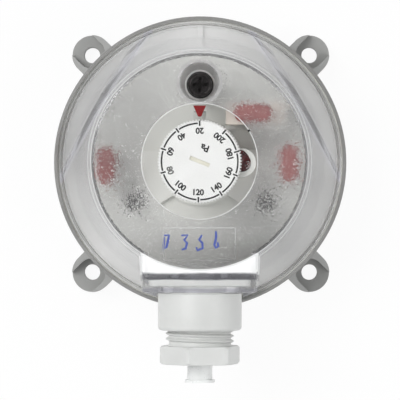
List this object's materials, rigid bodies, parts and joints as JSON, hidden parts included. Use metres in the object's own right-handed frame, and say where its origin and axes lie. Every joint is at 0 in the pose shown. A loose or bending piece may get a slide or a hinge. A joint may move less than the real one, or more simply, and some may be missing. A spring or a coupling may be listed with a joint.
{
  "type": "differential pressure switch",
  "caption": "Round air differential pressure switch with a clear screwed cover, setting dial, cable gland, two hose ports and mounting lugs.",
  "frame": {"origin": "centre of the flat back, on the axis of the dial", "axes": "+Z out of the dial, +Y from the dial to the cover screw, -Y along the cable gland and the hose ports, +X to the right with the dial facing the viewer"},
  "size_m": [0.085, 0.1056, 0.0571],
  "materials": {
    "housing_grey": "fine moulded texture",
    "cover_clear": "clear, with a frosted top",
    "black_screw": "black zinc, satin",
    "steel": "plain",
    "dark_steel": "blackened",
    "dial_white": "satin",
    "pointer_red": "satin",
    "cap_red": "satin",
    "cream": "moulded",
    "carrier_light": "moulded",
    "gland_white": "fine moulded texture",
    "plug_clear": "translucent",
    "rubber_black": "plain",
    "rubber_white": "plain",
    "brass": "tinned at the edges"
  },
  "bodies": {
    "housing": {"base_housing": "housing_grey", "switch_housing": "housing_grey", "housing_screws": "steel", "diaphragm": "rubber_white", "set_spring": "steel", "dial_bearing": "carrier_light", "pointer": "pointer_red", "switch_carrier": "carrier_light", "carrier_screws": "dark_steel", "calibration_screw": "dark_steel", "microswitch_case": "cream", "microswitch_pins": "steel", "cover_gasket": "rubber_black", "gland_body": "gland_white", "gland_seal": "rubber_black", "dust_plug": "plug_clear", "terminal_blade_left": "brass", "terminal_blade_right": "brass", "terminal_blade_upper": "brass", "terminal_cap_left": "cap_red", "terminal_cap_right": "cap_red", "terminal_cap_upper": "cap_red"},
    "cover": {"cover": "cover_clear", "cover_well": "cover_clear"},
    "cover_washer": {"cover_screw_washer": "rubber_black"},
    "cover_screw": {"cover_screw": "black_screw"},
    "dial": {"dial": "dial_white", "dial_spindle": "brass"},
    "spring_seat": {"spring_seat": "brass"},
    "diaphragm_plate": {"diaphragm_plate": "carrier_light"},
    "switch_leaf": {"microswitch_leaf": "steel"},
    "switch_button": {"microswitch_button": "pointer_red"},
    "gland_washer": {"gland_washer": "steel"},
    "gland_screw": {"gland_screw": "gland_white"}
  },
  "joints": [
    {"name": "dial_turn", "type": "hinge", "parent": "housing", "child": "dial", "pos_m": [0, 0, 0.047], "axis": [0, 0, 1], "range_deg": [-325, 0]},
    {"name": "spring_seat_travel", "type": "slide", "parent": "housing", "child": "spring_seat", "axis": [0, 0, 1], "range_m": [-0.003, 0], "deforming": ["set_spring"]},
    {"name": "diaphragm_travel", "type": "slide", "parent": "housing", "child": "diaphragm_plate", "axis": [0, 0, 1], "range_m": [0, 0.0012], "stiffness_N_per_m": 400, "springref_m": -0.0002, "deforming": ["set_spring", "diaphragm"]},
    {"name": "switch_leaf_tilt", "type": "hinge", "parent": "housing", "child": "switch_leaf", "pos_m": [0.02268, 0.0139, 0.0319], "axis": [0, 1, 0], "range_deg": [0, 6]},
    {"name": "switch_button_travel", "type": "slide", "parent": "housing", "child": "switch_button", "axis": [0, 0, 1], "range_m": [0, 0.00057]},
    {"name": "gland_washer_travel", "type": "slide", "parent": "housing", "child": "gland_washer", "axis": [0, 1, 0], "range_m": [-0.0045, 0.0038], "deforming": ["gland_seal"]},
    {"name": "gland_screw_turn", "type": "hinge", "parent": "gland_washer", "child": "gland_screw", "pos_m": [0, -0.055, 0.0425], "axis": [0, 1, 0], "range_deg": [-1081, 913]},
    {"name": "cover_lift", "type": "slide", "parent": "housing", "child": "cover", "axis": [0, 0, 1], "range_m": [0, 0.035]},
    {"name": "cover_screw_travel", "type": "slide", "parent": "cover", "child": "cover_washer", "axis": [0, 0, 1], "range_m": [0, 0.008]},
    {"name": "cover_screw_turn", "type": "hinge", "parent": "cover_washer", "child": "cover_screw", "pos_m": [0, 0.0223, 0.036], "axis": [0, 0, 1], "range_deg": [0, 1801]}
  ],
  "couplings": [
    {"joint": "dial_turn", "follows": "spring_seat_travel", "rad_per_m": 1885},
    {"joint": "switch_leaf_tilt", "follows": "diaphragm_travel", "rad_per_m": 85.653},
    {"joint": "switch_button_travel", "follows": "diaphragm_travel", "ratio": 0.46895},
    {"joint": "gland_screw_turn", "follows": "gland_washer_travel", "rad_per_m": 4188.8},
    {"joint": "cover_screw_turn", "follows": "cover_screw_travel", "rad_per_m": 3927}
  ]
}
